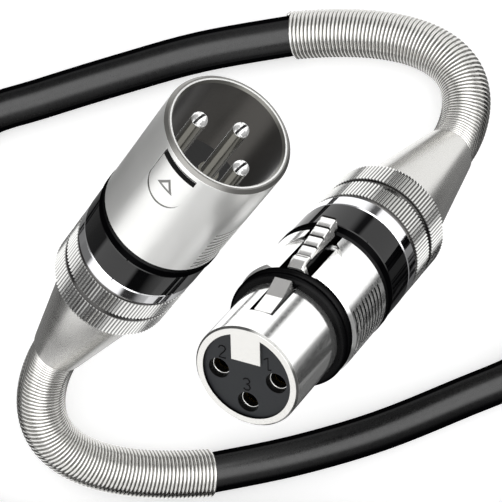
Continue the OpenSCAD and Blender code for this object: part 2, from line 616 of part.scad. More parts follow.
// side view of the lever: heights above the axis against stations
module lever_side(w, pts) translate([-w / 2, 0, 0]) rotate([90, 0, 90]) linear_extrude(height = w)
  polygon([for (p = pts) [p[1], -p[0]]]);
bump_len = 3;                                   // rounded front of the thumb part
pad_top = barrel_r + 0.1;
heel_low = spigot_r + 0.25;
step_len = (pad_rear - pad_front - bump_len) / lever_steps;
step_rise = 0.32;
module latch_lever() color([0.88, 0.88, 0.89]) as_female()
  difference() {
    union() {
      lever_side(hook_w, [[hook_front, strip_low + 0.5], [hook_front, hook_fold - 0.4],
        [nose_len - 3.5, hook_fold], [nose_len - 0.6, hook_top],
        [nose_len - 0.4, hook_top - 0.2], [nose_len - 0.4, strip_high], [pad_front + 1, strip_high],
        [pad_front + 1, strip_high + 1], [-pivot_at[1] - 2, strip_high + 1],
        [-pivot_at[1] - 2, strip_low], [hook_front + 1, strip_low]]);
      lever_side(lever_w, concat(
        [[pad_front, pad_low], [pad_front, pad_top - 0.4], [pad_front + 0.3, pad_top],
          [pad_front + 0.9, pad_top + 0.25], [pad_front + 1.7, pad_top + 0.35],
          [pad_front + 2.5, pad_top + 0.25], [pad_front + bump_len, pad_top]],
        [for (i = [0:lever_steps - 1], k = [0, 1])
          [pad_front + bump_len + step_len * (i + k), pad_top + step_rise * (i + k) + (k == 0 ? 0.1 : 0.25)]],
        [[pad_rear, pad_over], [female_barrel_len - 0.4, pad_over],
          [female_barrel_len - 0.4, heel_low], [-pivot_at[1] + 1, pivot_at[0] - 0.3],
          [-pivot_at[1] + 0.6, pivot_at[0] - 1.05], [-pivot_at[1] - 0.8, pivot_at[0] - 1.05],
          [-pivot_at[1] - 1.4, pad_low]]));
    }
    translate([0, pivot_at[0], pivot_at[1]]) rotate([0, 90, 0])
      cylinder(r = pivot_d / 2 + fit, h = far, center = true);
  }
// bowed leaf under the lever's neck, lying in the insert's key groove
leaf_front = nose_len + 0.4;
leaf_span = 6;
leaf_t = 0.3;
leaf_bow = 1.4;
leaf_foot = 0.4;
module latch_spring() color([0.8, 0.8, 0.78]) as_female() {
  low = latch_floor - fit + 0.02;
  lever_side(hook_w, [[leaf_front, low], [leaf_front, low + leaf_t],
    [leaf_front + leaf_span / 2, low + leaf_bow + leaf_t], [leaf_front + leaf_span, low + leaf_t],
    [leaf_front + leaf_span, low], [leaf_front + leaf_span - leaf_foot, low],
    [leaf_front + leaf_span / 2, low + leaf_bow], [leaf_front + leaf_foot, low]]);
}

// ---- one module per remaining node ----
module male_contact_1() male_contact([-CONTACTS[0][0], CONTACTS[0][1]]);
module male_contact_2() male_contact([-CONTACTS[1][0], CONTACTS[1][1]]);
module male_contact_3() male_contact(CONTACTS[2]);
module male_gasket() male_rear() gasket();
module male_id_band() male_rear() id_band();
module male_trim_ring() male_rear() trim_ring();
module male_slip_ring() male_rear() slip_ring();
module male_nut() male_rear() nut();
module male_boot() male_rear() boot();
module male_chuck() male_rear() chuck();
module male_spring() color([0.8, 0.8, 0.82]) coil_spring(male_curve, male_lengths);
module male_cable_tail() color([0.06, 0.06, 0.06]) cable_tail(male_curve, male_lengths, male_axis);
module male_cores() as_male() cores(male_barrel_len, male_insert_end + contact_rear);
module female_contact_1() female_contact(CONTACTS[0]);
module female_contact_2() female_contact(CONTACTS[1]);
module female_contact_3() female_contact(CONTACTS[2]);
module female_gasket() female_rear() gasket();
module female_id_band() female_rear() id_band();
module female_trim_ring() female_rear() trim_ring();
module female_slip_ring() female_rear() slip_ring();
module female_nut() female_rear() nut();
module female_boot() female_rear() boot();
module female_chuck() female_rear() chuck();
module female_spring() color([0.8, 0.8, 0.82]) coil_spring(female_curve, female_lengths);
module female_cable_tail() color([0.06, 0.06, 0.06]) cable_tail(female_curve, female_lengths, female_axis);
module female_cores() as_female() cores(female_barrel_len, female_insert_end + contact_rear);
module cable_run_right() color([0.06, 0.06, 0.06])
  tube(sweep(line_right, cable_r, 10, unit(male_curve[3] - male_curve[2]), -coil_out_dir));
module cable_run_left() color([0.06, 0.06, 0.06])
  tube(sweep(line_left, cable_r, 10, unit(female_curve[3] - female_curve[2]), coil_in_dir));
module cable_coil() color([0.06, 0.06, 0.06]) {
  tube(sweep(coil_line, cable_r, 6, coil_in_dir, coil_out_dir));
  echo(str("coil: inner radius ", coil_inner_r - cable_r, " mm, least gap between turns ",
    min(coil_pitch, layer_rise) - cable_d, " mm, cable ", line_length(coil_line), " mm, runs ",
    line_length(line_right), " and ", line_length(line_left), " mm"));
}

male_shell();
male_insert();
male_contact_1();
male_contact_2();
male_contact_3();
male_ground_spring();
male_gasket();
male_id_band();
male_trim_ring();
male_slip_ring();
male_nut();
male_boot();
male_chuck();
male_spring();
male_cable_tail();
male_cores();
female_shell();
female_insert();
female_contact_1();
female_contact_2();
female_contact_3();
nose_ring();
latch_lever();
latch_pin();
latch_spring();
female_gasket();
female_id_band();
female_trim_ring();
female_slip_ring();
female_nut();
female_boot();
female_chuck();
female_spring();
female_cable_tail();
female_cores();
cable_run_right();
cable_coil();
cable_run_left();
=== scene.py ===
"""Looks of a balanced microphone lead: two metal connectors on bent springs, and their cable.

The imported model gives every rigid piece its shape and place. This script dresses those
pieces, winds the close springs, lays the cable and sets the studio round them.
Lengths are millimetres, but for the studio's lamps and floor and for finished meshes,
which are in metres. Angles are degrees.
"""

from __future__ import annotations

import bisect
import logging
import math
from dataclasses import dataclass
from enum import Enum
from typing import Any, Sequence

import bpy
from mathutils import Matrix, Vector

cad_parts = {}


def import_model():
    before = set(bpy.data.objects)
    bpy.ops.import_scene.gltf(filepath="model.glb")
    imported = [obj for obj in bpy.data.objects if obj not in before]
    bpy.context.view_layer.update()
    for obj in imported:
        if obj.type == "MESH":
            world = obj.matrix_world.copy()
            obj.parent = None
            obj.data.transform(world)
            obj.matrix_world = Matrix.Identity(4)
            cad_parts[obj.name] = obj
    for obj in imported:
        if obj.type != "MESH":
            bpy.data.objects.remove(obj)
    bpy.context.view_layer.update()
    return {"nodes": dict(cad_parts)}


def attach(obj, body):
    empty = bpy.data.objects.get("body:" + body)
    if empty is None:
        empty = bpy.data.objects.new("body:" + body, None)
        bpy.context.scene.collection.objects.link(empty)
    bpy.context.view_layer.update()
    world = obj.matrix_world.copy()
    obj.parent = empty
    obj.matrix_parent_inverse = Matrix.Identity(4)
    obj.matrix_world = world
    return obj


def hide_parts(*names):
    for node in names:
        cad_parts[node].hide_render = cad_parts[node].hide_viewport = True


MM = 0.001
# from the zero of the layout's places to the frame's, the middle of the two connectors
LAYOUT_SHIFT = Vector((-0.54, 0.45, 0.0))
# most of a noise's values lie between these
NOISE_SPAN = (0.35, 0.65)
# how far a surface turns from the eye, 0 to 1, while a dull rim's gloss dies away
RIM_SPAN = (0.08, 0.42)
LOG = logging.getLogger("microphone_lead")

Tree = bpy.types.NodeTree
Node = bpy.types.Node
Socket = bpy.types.NodeSocket
Material = bpy.types.Material
Object = bpy.types.Object
Colour = tuple[float, float, float, float]
Point = tuple[float, float, float]
Pair = tuple[float, float]


# ---------------------------------------------------------------- colours and nodes


def linear(hex_tone: str) -> Colour:
    """Turns an sRGB hex colour into the linear colour that a shader takes.

    Args:
        hex_tone: six hex digits.

    Returns:
        Linear red, green and blue, and an alpha of 1.
    """
    parts = [int(hex_tone[i : i + 2], 16) / 255 for i in (0, 2, 4)]
    red, green, blue = [c / 12.92 if c <= 0.04045 else ((c + 0.055) / 1.055) ** 2.4 for c in parts]
    return red, green, blue, 1.0


def grey(level: float) -> Colour:
    """Returns the linear grey of a level, at which 1 is white."""
    return level, level, level, 1.0


def per_mm(size: float) -> float:
    """Returns the texture scale, in cycles per metre, of a pattern whose step is size millimetres."""
    return 1.0 / (size * MM)


def add(
    tree: Tree,
    kind: str,
    settings: dict[str, Any] | None = None,
    inputs: dict[str | int, Any] | None = None,
) -> Node:
    """Adds one node to a tree, with its settings and links.

    Args:
        tree: the material's or world's node tree.
        kind: the node's type name.
        settings: attributes by name.
        inputs: by the input's name or number, the value that it keeps or the socket it is linked to.

    Returns:
        The new node.
    """
    node = tree.nodes.new(kind)
    for name, value in (settings or {}).items():
        setattr(node, name, value)
    for name, value in (inputs or {}).items():
        if isinstance(value, Socket):
            tree.links.new(value, node.inputs[name])
        else:
            node.inputs[name].default_value = value
    return node


def cross_over(tree: Tree, value: Socket, span: Pair, before: Any, after: Any) -> Socket:
    """Passes from one colour to another while a value goes through a span.

    Args:
        tree: the material's or world's tree.
        value: the socket with the value.
        span: where the change starts and ends.
        before: the colour, or its socket, below the span.
        after: the colour, or its socket, above it.

    Returns:
        The colour's socket.
    """
    change = {"Value": value, "From Min": span[0], "From Max": span[1]}
    share = add(tree, "ShaderNodeMapRange", inputs=change)
    blend = {0: share.outputs[0], 6: before, 7: after}
    return add(tree, "ShaderNodeMix", {"data_type": "RGBA"}, blend).outputs[2]


class Body(str, Enum):
    """The bodies that the added pieces ride on."""

    LEAD = "lead"
    LATCH = "latch"


# ---------------------------------------------------------------- where a finish lies


@dataclass(frozen=True)
class Zone:
    """A ring-shaped region of a connector, in millimetres, and the tone the metal takes there."""

    depth: Pair  # behind the mouth
    radius: Pair  # from the axis
    tone: str
    across: Pair = (0.0, 99.0)  # sideways from the key's plane, either way


@dataclass(frozen=True)
class Site:
    """Where a connector stands, so that a finish knows its rims, slots and grooves."""

    mouth: Point
    axis: Point
    sideways: Point
    zones: tuple[Zone, ...] = ()

    def measure(self, tree: Tree, point: Socket) -> tuple[Socket, Socket, Socket]:
        """Measures where a point of the frame lies on the connector.

        Args:
            tree: the material's tree.
            point: the socket with the point.

        Returns:
            Sockets with its depth behind the mouth, its distance from the axis and its
            distance from the key's plane, in metres.
        """
        kind = "ShaderNodeVectorMath"
        back = tuple(-c for c in self.axis)
        apart = add(tree, kind, {"operation": "SUBTRACT"}, {0: point, 1: self.mouth}).outputs[0]
        depth = add(tree, kind, {"operation": "DOT_PRODUCT"}, {0: apart, 1: back}).outputs["Value"]
        along = add(tree, kind, {"operation": "SCALE"}, {0: back, "Scale": depth}).outputs[0]
        out = add(tree, kind, {"operation": "SUBTRACT"}, {0: apart, 1: along}).outputs[0]
        radius = add(tree, kind, {"operation": "LENGTH"}, {0: out}).outputs["Value"]
        side = add(tree, kind, {"operation": "DOT_PRODUCT"}, {0: apart, 1: self.sideways}).outputs["Value"]
        across = add(tree, "ShaderNodeMath", {"operation": "ABSOLUTE"}, {0: side}).outputs[0]
        return depth, radius, across

    def within(self, tree: Tree, value: Socket, span: Pair) -> Socket:
        """Tells whether a value lies in a span.

        Args:
            tree: the material's tree.
            value: the socket with the value, in metres.
            span: its least and its most, in millimetres.

        Returns:
            The socket with 1 inside the span and 0 elsewhere.
        """
        middle, half = (span[0] + span[1]) / 2, (span[1] - span[0]) / 2
        limits = {0: value, 1: middle * MM, 2: half * MM}
        return add(tree, "ShaderNodeMath", {"operation": "COMPARE"}, limits).outputs[0]

    def toned(self, tree: Tree, point: Socket, tone: str) -> Socket:
        """Lays each zone's tone over the metal's own.

        Args:
            tree: the material's tree.
            point: the socket with the point in the frame.
            tone: the metal's own colour.

        Returns:
            The colour socket.
        """
        depth, radius, across = self.measure(tree, point)
        colour: Any = linear(tone)
        for zone in self.zones:
            mask = self.within(tree, depth, zone.depth)
            for value, span in ((radius, zone.radius), (across, zone.across)):
                inside = {0: mask, 1: self.within(tree, value, span)}
                mask = add(tree, "ShaderNodeMath", {"operation": "MULTIPLY"}, inside).outputs[0]
            blend = {0: mask, 6: colour, 7: linear(zone.tone)}
            colour = add(tree, "ShaderNodeMix", {"data_type": "RGBA"}, blend).outputs[2]
        return colour


# ---------------------------------------------------------------- finishes


@dataclass(frozen=True)
class Finish:
    """One real material and how its surface was made."""

    name: str
    tone: str
    roughness: float
    metallic: float = 0.0
    edge: float = 0.0  # radius of the softened edges, in millimetres
    specular: float = 0.5
    site: Site | None = None
    dull_rim: bool = False  # gloss that dies away where the surface turns from the eye

    def build(self) -> Material:
        """Makes the material: shader first, then what detail() adds.

        Returns:
            The finished material.
        """
        material = bpy.data.materials.new(self.name)
        material.use_nodes = True
        tree = material.node_tree
        tree.nodes.clear()
        looks = {
            "Base Color": linear(self.tone),
            "Roughness": self.roughness,
            "Metallic": self.metallic,
            "Specular IOR Level": self.specular,
        }
        shader = add(tree, "ShaderNodeBsdfPrincipled", inputs=looks)
        add(tree, "ShaderNodeOutputMaterial", inputs={"Surface": shader.outputs[0]})
        if self.site is not None and self.site.zones:
            tree.links.new(self.site.toned(tree, self.place(tree), self.tone), shader.inputs["Base Color"])
        if self.dull_rim:
            self.dim(tree, shader)
        self.detail(tree, shader)
        return material

    def detail(self, tree: Tree, shader: Node) -> None:
        """Adds what the finish shows close up; the plain finish adds nothing."""

    def dim(self, tree: Tree, shader: Node) -> None:
        """Lets the gloss die away towards the rim.

        Args:
            tree: the material's tree.
            shader: the shader that loses its gloss.
        """
        facing = add(tree, "ShaderNodeLayerWeight", inputs={"Blend": 0.5}).outputs["Facing"]
        spans = {"From Min": RIM_SPAN[0], "From Max": RIM_SPAN[1], "To Min": self.specular, "To Max": 0.0}
        fade = add(tree, "ShaderNodeMapRange", inputs={"Value": facing, **spans})
        tree.links.new(fade.outputs[0], shader.inputs["Specular IOR Level"])

    def place(self, tree: Tree) -> Socket:
        """Returns the socket that gives the point in the frame, in metres."""
        return add(tree, "ShaderNodeTexCoord").outputs["Object"]

    def soft_edge(self, tree: Tree) -> dict[str | int, Socket]:
        """Rounds sharp edges.

        Args:
            tree: the material's tree.

        Returns:
            The Normal input of a bump, or nothing when edge is 0.
        """
        if self.edge <= 0:
            return {}
        bevel = add(tree, "ShaderNodeBevel", {"samples": 4}, {"Radius": self.edge * MM})
        return {"Normal": bevel.outputs[0]}

    def grain(self, tree: Tree, shader: Node, step: float, height: float, strength: float) -> Socket:
        """Bumps the surface with an even grain.

        Args:
            tree: the material's tree.
            shader: the shader that takes the bump.
            step: grain width in millimetres.
            height: grain height in millimetres.
            strength: how much of the bump shows, 0 to 1.

        Returns:
            The grain's own height, 0 to 1, for further use.
        """
        pattern = {"Scale": per_mm(step), "Detail": 3.0, "Roughness": 0.6, "Vector": self.place(tree)}
        noise = add(tree, "ShaderNodeTexNoise", inputs=pattern).outputs[0]
        shape = {"Strength": strength, "Distance": height * MM, "Height": noise, **self.soft_edge(tree)}
        bump = add(tree, "ShaderNodeBump", inputs=shape)
        tree.links.new(bump.outputs[0], shader.inputs["Normal"])
        return noise

    def vary(self, tree: Tree, shader: Node, source: Socket, low: float, high: float) -> None:
        """Spreads the roughness by a noise.

        Args:
            tree: the material's tree.
            shader: the shader that takes the roughness.
            source: the noise's socket.
            low: roughness where the noise is low.
            high: roughness where it is high.
        """
        spans = {"From Min": NOISE_SPAN[0], "From Max": NOISE_SPAN[1], "To Min": low, "To Max": high}
        spread = add(tree, "ShaderNodeMapRange", inputs={"Value": source, **spans})
        tree.links.new(spread.outputs[0], shader.inputs["Roughness"])

    def rub(self, tree: Tree, shader: Node, patch: float, octaves: float, low: float, high: float) -> None:
        """Spreads the roughness in patches, as handling leaves them.

        Args:
            tree: the material's tree.
            shader: the shader that takes the roughness.
            patch: width of a patch in millimetres.
            octaves: how many finer patches lie in it.
            low: roughness where it is rubbed most.
            high: roughness where it is rubbed least.
        """
        pattern = {"Scale": per_mm(patch), "Detail": octaves, "Vector": self.place(tree)}
        noise = add(tree, "ShaderNodeTexNoise", inputs=pattern)
        self.vary(tree, shader, noise.outputs[0], low, high)


@dataclass(frozen=True)
class TumbledNickel(Finish):
    """Satin nickel plate over tumbled zinc casting: a soft white sheen with a fine grain."""

    step: float = 0.16  # the real grain is finer; this is as coarse as it needs to show
    height: float = 0.012

    def detail(self, tree: Tree, shader: Node) -> None:
        """Adds the grain of the tumbling media, and slow changes of gloss where hands rub it."""
        self.grain(tree, shader, self.step, self.height, strength=0.45)
        self.rub(tree, shader, 7.0, octaves=2.0, low=self.roughness - 0.02, high=self.roughness + 0.03)


@dataclass(frozen=True)
class BrightNickel(Finish):
    """Bright nickel plate on polished zinc: near a mirror, with the casting's slow waves."""

    def detail(self, tree: Tree, shader: Node) -> None:
        """Adds slow waves under the plate, and faint rubbing in its gloss."""
        self.grain(tree, shader, step=3.2, height=0.01, strength=0.25)
        self.rub(tree, shader, 0.5, octaves=4.0, low=self.roughness * 0.8, high=self.roughness * 1.3)


@dataclass(frozen=True)
class SmoothPlate(Finish):
    """Bright plate on a small turned or pressed piece: smooth, with faint marks from use."""

    def detail(self, tree: Tree, shader: Node) -> None:
        """Adds faint rubbing in the gloss."""
        self.rub(tree, shader, 1.6, octaves=1.0, low=self.roughness - 0.01, high=self.roughness + 0.02)


@dataclass(frozen=True)
class TurnedMetal(Finish):
    """Turned or drawn and plated metal: fine rings across the axis that draw the light out."""

    axis: Point = (0.0, 0.0, 1.0)
    step: float = 0.22  # coarser than the tool's real feed, so that it shows
    shade_radii: Pair = (0.0, 0.0)  # radii between which the knurl's valleys take painted shade
    valley_shade_tone: str = "4C4B4A"  # painted shade in the knurl's valleys

    def detail(self, tree: Tree, shader: Node) -> None:
        """Paints shade into the knurl's valleys, and adds tool rings: noise along the axis only.

        Args:
            tree: the material's tree.
            shader: the shader that takes both.
        """
        if self.site is not None and self.shade_radii[1] > 0:
            radius = self.site.measure(tree, self.place(tree))[1]
            span = (self.shade_radii[0] * MM, self.shade_radii[1] * MM)
            # painted shade: the valleys between the teeth take a darker tone
            shaded_valleys = cross_over(tree, radius, span, linear(self.valley_shade_tone), linear(self.tone))
            tree.links.new(shaded_valleys, shader.inputs["Base Color"])
        along = add(
            tree, "ShaderNodeVectorMath", {"operation": "DOT_PRODUCT"}, {0: self.place(tree), 1: self.axis}
        )
        pattern = {"Scale": per_mm(self.step), "Detail": 2.0, "W": along.outputs["Value"]}
        rings = add(tree, "ShaderNodeTexNoise", {"noise_dimensions": "1D"}, pattern)
        self.vary(tree, shader, rings.outputs[0], low=self.roughness - 0.04, high=self.roughness + 0.06)


@dataclass(frozen=True)
class Moulded(Finish):
    """Injection-moulded plastic or rubber: an even skin with the mould's spark texture."""

    step: float = 0.12
    height: float = 0.01

    def detail(self, tree: Tree, shader: Node) -> None:
        """Adds the mould's spark texture, and a slight change of gloss over it."""
        noise = self.grain(tree, shader, self.step, self.height, strength=0.5)
        self.vary(tree, shader, noise, low=self.roughness - 0.05, high=self.roughness + 0.08)


@dataclass(frozen=True)
class GlossBand(Finish):
    """Gloss lacquer on a plastic band: deep black that mirrors the room in blocks."""

    coat: float = 0.6
    coat_roughness: float = 0.02
    coat_ior: float = 1.55

    def detail(self, tree: Tree, shader: Node) -> None:
        """Adds a clear coat over faint polishing marks.

        Args:
            tree: the material's tree.
            shader: the shader that takes the coat.
        """
        shader.inputs["Coat Weight"].default_value = self.coat
        shader.inputs["Coat Roughness"].default_value = self.coat_roughness
        shader.inputs["Coat IOR"].default_value = self.coat_ior
        self.grain(tree, shader, step=2.5, height=0.002, strength=0.15)


@dataclass(frozen=True)
class CableJacket(Finish):
    """Extruded flexible jacket: half-gloss black with a soft line of light and slight ripples."""

    def detail(self, tree: Tree, shader: Node) -> None:
        """Adds slow ripples of the lay inside the jacket, and fine scuffs in its gloss."""
        self.grain(tree, shader, step=3.4, height=0.012, strength=0.25)
        self.rub(tree, shader, 0.9, octaves=5.0, low=self.roughness - 0.02, high=self.roughness + 0.04)


# ---------------------------------------------------------------- geometry helpers


def mesh_object(
    name: str,
    points: Sequence[Vector],
    faces: Sequence[Sequence[int]],
    finish: Material,
    body: Body,
    smooth: bool = True,
) -> Object:
    """Makes a mesh object in metres that rides on a body.

    Args:
        name: the piece's name.
        points: its vertices, in metres, in the frame.
        faces: its faces as vertex numbers.
        finish: its material.
        body: what it rides on.
        smooth: True for smooth shading.

    Returns:
        The new object.
    """
    mesh = bpy.data.meshes.new(name)
    mesh.from_pydata([tuple(p) for p in points], [], [tuple(f) for f in faces])
    mesh.materials.append(finish)
    mesh.polygons.foreach_set("use_smooth", [smooth] * len(mesh.polygons))
    mesh.update()
    piece = bpy.data.objects.new(name, mesh)
    bpy.context.scene.collection.objects.link(piece)
    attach(piece, body.value)
    LOG.info("%s: %d faces, %s", name, len(faces), finish.name)
    return piece


def tube_mesh(rings: Sequence[Sequence[Vector]]) -> tuple[list[Vector], list[list[int]]]:
    """Skins rings of equal point counts into a closed tube.

    Args:
        rings: the rings, in order.

    Returns:
        Points and faces; the two ends are the last faces.
    """
    sides = len(rings[0])
    points = [p for ring in rings for p in ring]
    faces: list[list[int]] = []
    for i in range(len(rings) - 1):
        for j in range(sides):
            a, b = i * sides + j, i * sides + (j + 1) % sides
            faces.append([a, b, b + sides, a + sides])
    faces.append(list(range(sides))[::-1])
    last = (len(rings) - 1) * sides
    faces.append([last + j for j in range(sides)])
    return points, faces


def round_line(
    name: str,
    line: Sequence[Vector],
    radius: float,
    finish: Material,
    closed: bool = False,
    fineness: int = 2,
) -> Object:
    """Draws a line of round section that rides on the lead.

    Args:
        name: the piece's name.
        line: its points, in metres.
        radius: half its thickness, in millimetres.
        finish: its material.
        closed: True for a ring.
        fineness: how finely its section is rounded.

    Returns:
        The curve object.
    """
    data = bpy.data.curves.new(name, "CURVE")
    data.dimensions = "3D"
    data.bevel_depth = radius * MM
    data.bevel_resolution = fineness
    data.use_fill_caps = not closed
    spline = data.splines.new("POLY")
    spline.points.add(len(line) - 1)
    for point, at in zip(spline.points, line):
        point.co = (*at, 1.0)
    spline.use_cyclic_u = closed
    data.materials.append(finish)
    piece = bpy.data.objects.new(name, data)
    bpy.context.scene.collection.objects.link(piece)
    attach(piece, Body.LEAD.value)
    LOG.info("%s: %d points, %s", name, len(line), finish.name)
    return piece


@dataclass(frozen=True)
class Posture:
    """Where a connector stands and which way it looks."""

    boot_at: Point  # middle of the boot's small end, in the layout
    heading: float  # compass angle of the mouth, from +X
    lift: float  # angle of the mouth above the floor
    roll: float  # turn about the connector's own axis
    total: float  # from the boot's small end to the mouth

    def turn(self) -> Matrix:
        """Works out the turn from the connector's own axes, Z to the mouth and Y to the key.

        Returns:
            A 3 by 3 rotation to the frame's axes.
        """
        compass = Matrix.Rotation(math.radians(self.heading), 3, "Z")
        tip = Matrix.Rotation(math.radians(90 - self.lift), 3, "Y")
        spin = Matrix.Rotation(math.radians(90 - self.roll), 3, "Z")
        return compass @ tip @ spin

    def axis(self) -> Vector:
        """Returns the unit direction from the cable to the mouth."""
        return self.turn() @ Vector((0, 0, 1))

    def boot_end(self) -> Vector:
        """Returns the middle of the boot's small end in the frame, in millimetres."""
        return Vector(self.boot_at) + LAYOUT_SHIFT

    def to_frame(self, point: Vector) -> Vector:
        """Turns a point of the connector's own axes, in millimetres from the mouth, to metres."""
        mouth = self.boot_end() + self.total * self.axis()
        return (mouth + self.turn() @ point) * MM

    def site(self, *zones: Zone) -> Site:
        """Returns where this connector stands, with the zones that its finish keeps."""
        mouth, sideways = self.to_frame(Vector((0, 0, 0))), self.turn() @ Vector((1, 0, 0))
        return Site(tuple(mouth), tuple(self.axis()), tuple(sideways), zones)


# ---------------------------------------------------------------- studio


@dataclass(frozen=True)
class Softbox:
    """One lamp with a soft rectangular front, in metres."""

    name: str
    at: Point
    look_at: Point
    size: Pair
    level: float  # radiance of its front; 1 is white

    def build(self) -> Object:
        """Hangs the lamp.

        Returns:
            The lamp's object.
        """
        lamp = bpy.data.lights.new(self.name, "AREA")
        lamp.shape = "RECTANGLE"
        lamp.size, lamp.size_y = self.size
        lamp.energy = self.level * math.pi * self.size[0] * self.size[1]
        holder = bpy.data.objects.new(self.name, lamp)
        holder.location = self.at
        aim = Vector(self.look_at) - Vector(self.at)
        holder.rotation_mode = "QUATERNION"
        holder.rotation_quaternion = aim.to_track_quat("-Z", "Y")
        holder.visible_camera = False
        holder.visible_glossy = False
        bpy.context.scene.collection.objects.link(holder)
        return holder


@dataclass(frozen=True)
class Studio:
    """Pale floor, lamps, a room of panels and the camera overhead."""

    camera_height: float = 400.0  # in millimetres
    focal_px: float = 2440.0
    frame_px: int = 502
    sensor: float = 36.0
    floor_size: float = 6.0  # in metres
    floor_tone: str = "F0F0F0"
    floor_glow: float = 0.45  # what lifts the lit floor to white for the eye
    room_level: float = 0.75  # for what isn't glossy
    panel_heading: float = 48.0  # compass angle of the panels' middle, and of the half turn opposite
    # round from the heading, and how bright the room is there, north and south of the set
    north_panels: tuple[Pair, ...] = (
        (-90, 0.2), (-44, 0.28), (-37, 1.4), (10, 1.4), (14, 0.12),
        (18, 0.12), (22, 1.5), (62, 1.5), (72, 0.5), (90, 0.2),
    )  # fmt: skip
    south_panels: tuple[Pair, ...] = (
        (-90, 0.12), (-86, 0.2), (-44, 0.2), (-37, 1.4), (11, 1.4), (14, 0.04),
        (20, 0.04), (24, 0.95), (34, 0.85), (48, 0.5), (56, 0.12), (90, 0.12),
    )  # fmt: skip
    # the same for what stands above eye level, and for the thin flag that crosses it overhead
    upper_panels: tuple[Pair, ...] = ((-90, 0.3), (-60, 0.3), (-50, 1.5), (45, 1.5), (55, 0.3), (90, 0.3))
    flag: tuple[Pair, ...] = ((-90, 1.0), (3.5, 1.0), (4.5, 0.02), (10.5, 0.02), (11.5, 1.0), (90, 1.0))
    crown_level: float = 3.2
    # a direction's rise, 0 at eye level and 1 overhead, over which the panels change
    upper_span: Pair = (0.0, 0.05)
    crown_span: Pair = (0.72, 0.88)
    # a direction's way north over which the southern panels change to the northern ones
    north_span: Pair = (-0.02, 0.02)
    # the panels lean: low in the room they are turned by this angle, which fades over this span
    # of angles from eye level
    lean: float = -22.0
    lean_span: Pair = (-33.0, -13.0)
    boxes: tuple[Softbox, ...] = (
        Softbox("lamp_over", (0.05, 0.10, 0.75), (0, 0, 0.03), (0.55, 0.55), 1.2),
        Softbox("lamp_east", (0.42, 0.38, 0.16), (0, 0, 0.05), (0.26, 0.30), 2.2),
        Softbox("lamp_west", (-0.42, -0.40, 0.16), (0, 0, 0.05), (0.26, 0.30), 2.2),
    )

    def camera(self) -> None:
        """Hangs the camera straight above, its picture's top towards +Y."""
        data = bpy.data.cameras.new("overhead")
        data.sensor_width = self.sensor
        data.lens = self.sensor * self.focal_px / self.frame_px
        data.clip_start, data.clip_end = 0.01, 20.0
        holder = bpy.data.objects.new("overhead", data)
        holder.location = (LAYOUT_SHIFT + Vector((0, 0, self.camera_height))) * MM
        bpy.context.scene.collection.objects.link(holder)
        bpy.context.scene.camera = holder

    def paper(self) -> Material:
        """Makes the floor's matt white paper, which looks white to what looks at it.

        Returns:
            The material.
        """
        paper = bpy.data.materials.new("white_paper_sweep")
        paper.use_nodes = True
        tree = paper.node_tree
        tree.nodes.clear()
        sheet = add(tree, "ShaderNodeBsdfDiffuse", inputs={"Color": linear(self.floor_tone)})
        rays = add(tree, "ShaderNodeLightPath").outputs
        seen = rays["Is Camera Ray"]
        for other in ("Is Glossy Ray", "Is Transmission Ray"):
            either = {0: seen, 1: rays[other]}
            seen = add(tree, "ShaderNodeMath", {"operation": "MAXIMUM"}, either).outputs[0]
        lift = add(tree, "ShaderNodeMath", {"operation": "MULTIPLY"}, {0: seen, 1: self.floor_glow})
        glow = add(tree, "ShaderNodeEmission", inputs={"Color": grey(1.0), "Strength": lift.outputs[0]})
        both = add(tree, "ShaderNodeAddShader", inputs={0: sheet.outputs[0], 1: glow.outputs[0]})
        add(tree, "ShaderNodeOutputMaterial", inputs={"Surface": both.outputs[0]})
        return paper

    def floor(self) -> None:
        """Lays the pale floor."""
        half = self.floor_size / 2
        corners = [(-half, -half, 0), (half, -half, 0), (half, half, 0), (-half, half, 0)]
        mesh = bpy.data.meshes.new("floor")
        mesh.from_pydata(corners, [], [(0, 1, 2, 3)])
        mesh.materials.append(self.paper())
        floor = bpy.data.objects.new("floor", mesh)
        floor.visible_glossy = False
        bpy.context.scene.collection.objects.link(floor)

    def turned(self, tree: Tree, way: Node) -> Socket:
        """Works out where round the room a direction points, as its leaning panels see it.

        Args:
            tree: the world's tree.
            way: the node with the direction's X, Y and Z.

        Returns:
            The socket with 0 to 1 for each half turn, and 0.5 at the panels' heading.
        """
        sides = {0: way.outputs["Y"], 1: way.outputs["X"]}
        angle = add(tree, "ShaderNodeMath", {"operation": "ARCTAN2"}, sides)
        rise = add(tree, "ShaderNodeMath", {"operation": "ARCSINE"}, {0: way.outputs["Z"]})
        low, high = (math.radians(a) for a in self.lean_span)
        spans = {"From Min": low, "From Max": high, "To Min": math.radians(self.lean), "To Max": 0.0}
        lean = add(tree, "ShaderNodeMapRange", inputs={"Value": rise.outputs[0], **spans})
        total = add(tree, "ShaderNodeMath", {"operation": "ADD"}, {0: angle.outputs[0], 1: lean.outputs[0]})
        shift = 0.5 - self.panel_heading / 180 + 2
        turns = {0: total.outputs[0], 1: 1 / math.pi, 2: shift}
        share = add(tree, "ShaderNodeMath", {"operation": "MULTIPLY_ADD"}, turns)
        return add(tree, "ShaderNodeMath", {"operation": "FRACT"}, {0: share.outputs[0]}).outputs[0]

    def ring(self, tree: Tree, round_room: Socket, panels: Sequence[Pair]) -> Socket:
        """Hangs a ring of panels.

        Args:
            tree: the world's tree.
            round_room: where round the room a direction points, from turned().
            panels: degrees round from the heading and the level there, even between pairs.

        Returns:
            The socket with the level.
        """
        node = add(tree, "ShaderNodeValToRGB", inputs={"Fac": round_room})
        stops = node.color_ramp.elements
        while len(stops) < len(panels):
            stops.new(1.0)
        for stop, (at, level) in zip(stops, panels):
            stop.position = (90 + at) / 180
            stop.color = grey(level)
        return node.outputs[0]

